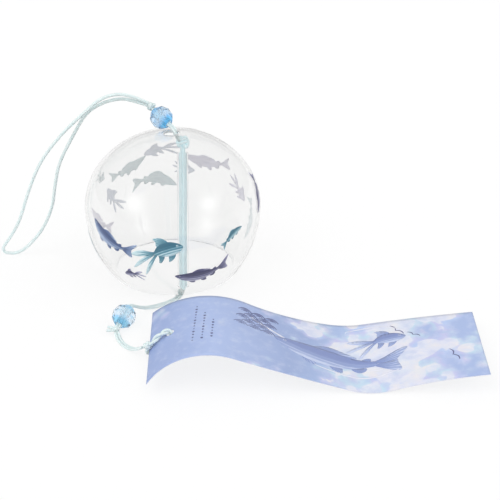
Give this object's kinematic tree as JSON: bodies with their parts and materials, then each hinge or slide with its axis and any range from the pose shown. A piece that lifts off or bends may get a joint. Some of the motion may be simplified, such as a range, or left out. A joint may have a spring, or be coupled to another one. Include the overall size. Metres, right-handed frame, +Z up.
{
  "type": "wind bell",
  "caption": "Blown glass wind bell standing on its rim, with a clapper tube inside, a cord loop to hang it by, faceted beads and a curved paper strip that catches the wind.",
  "frame": {"origin": "On the table under the centre of the bell's mouth.", "axes": "+Z up. +X runs along the paper strip, away from its cord. -Y points from the bell to the strip, so the picture was taken from -Y and above."},
  "size_m": [0.2133, 0.1446, 0.0821],
  "materials": {
    "glass": "clear gloss",
    "bead": "clear gloss, faceted",
    "cord": "satin",
    "paper": "matt print on white"
  },
  "bodies": {
    "bell": {"glass_bell": "glass", "crown_knot": "cord", "neck_cord": "cord", "rim_cord": "cord"},
    "neck": {"bead_cord": "cord"},
    "upper_bead": {"upper_bead": "bead"},
    "hanging_loop": {"loop_knot": "cord", "hanging_loop": "cord"},
    "clapper": {"clapper_tube": "glass", "clapper_cord": "cord", "clapper_knot": "cord"},
    "tail": {"tail_strand_back": "cord", "tail_strand_front": "cord", "lower_bead_cord": "cord", "bead_knot": "cord", "cut_cord_ends": "cord"},
    "lower_bead": {"lower_bead": "bead"},
    "card_lead": {"card_strand_back": "cord", "card_strand_front": "cord"},
    "card": {"card_knot": "cord", "card_loop_back": "cord", "card_loop_front": "cord", "card": "paper"}
  },
  "joints": [
    {"name": "neck_lean", "type": "hinge", "parent": "bell", "child": "neck", "pos_m": [0.002, 0.0015, 0.06831], "axis": [0.6103, 0.7921, 0], "range_deg": [0, 62]},
    {"name": "upper_bead_spin", "type": "hinge", "parent": "neck", "child": "upper_bead", "pos_m": [-0.0043, 0.00635, 0.072], "axis": [-0.7183, 0.5534, 0.4217], "continuous": true},
    {"name": "hanging_loop_swing", "type": "hinge", "parent": "neck", "child": "hanging_loop", "pos_m": [-0.00905, 0.01072, 0.07578], "axis": [0, 1, 0], "range_deg": [0, 80]},
    {"name": "clapper_swing", "type": "hinge", "parent": "bell", "child": "clapper", "pos_m": [0.005, 0.00175, 0.05806], "axis": [1, 0, 0], "range_deg": [0, 42]},
    {"name": "tail_sweep", "type": "hinge", "parent": "bell", "child": "tail", "pos_m": [0.00249, -0.03083, 0.00062], "axis": [0, 0, 1], "range_deg": [-20, 12]},
    {"name": "lower_bead_spin", "type": "hinge", "parent": "tail", "child": "lower_bead", "pos_m": [-0.0183, -0.0541, 0.00522], "axis": [-0.3813, -0.8328, -0.4013], "continuous": true},
    {"name": "card_sweep", "type": "hinge", "parent": "tail", "child": "card_lead", "pos_m": [-0.02103, -0.06005, 0.00235], "axis": [0, 0, 1], "range_deg": [-25, 12]},
    {"name": "card_lift", "type": "hinge", "parent": "card_lead", "child": "card", "pos_m": [-0.0059, -0.0813, 0.00777], "axis": [0, -1, 0], "range_deg": [0, 75]}
  ]
}
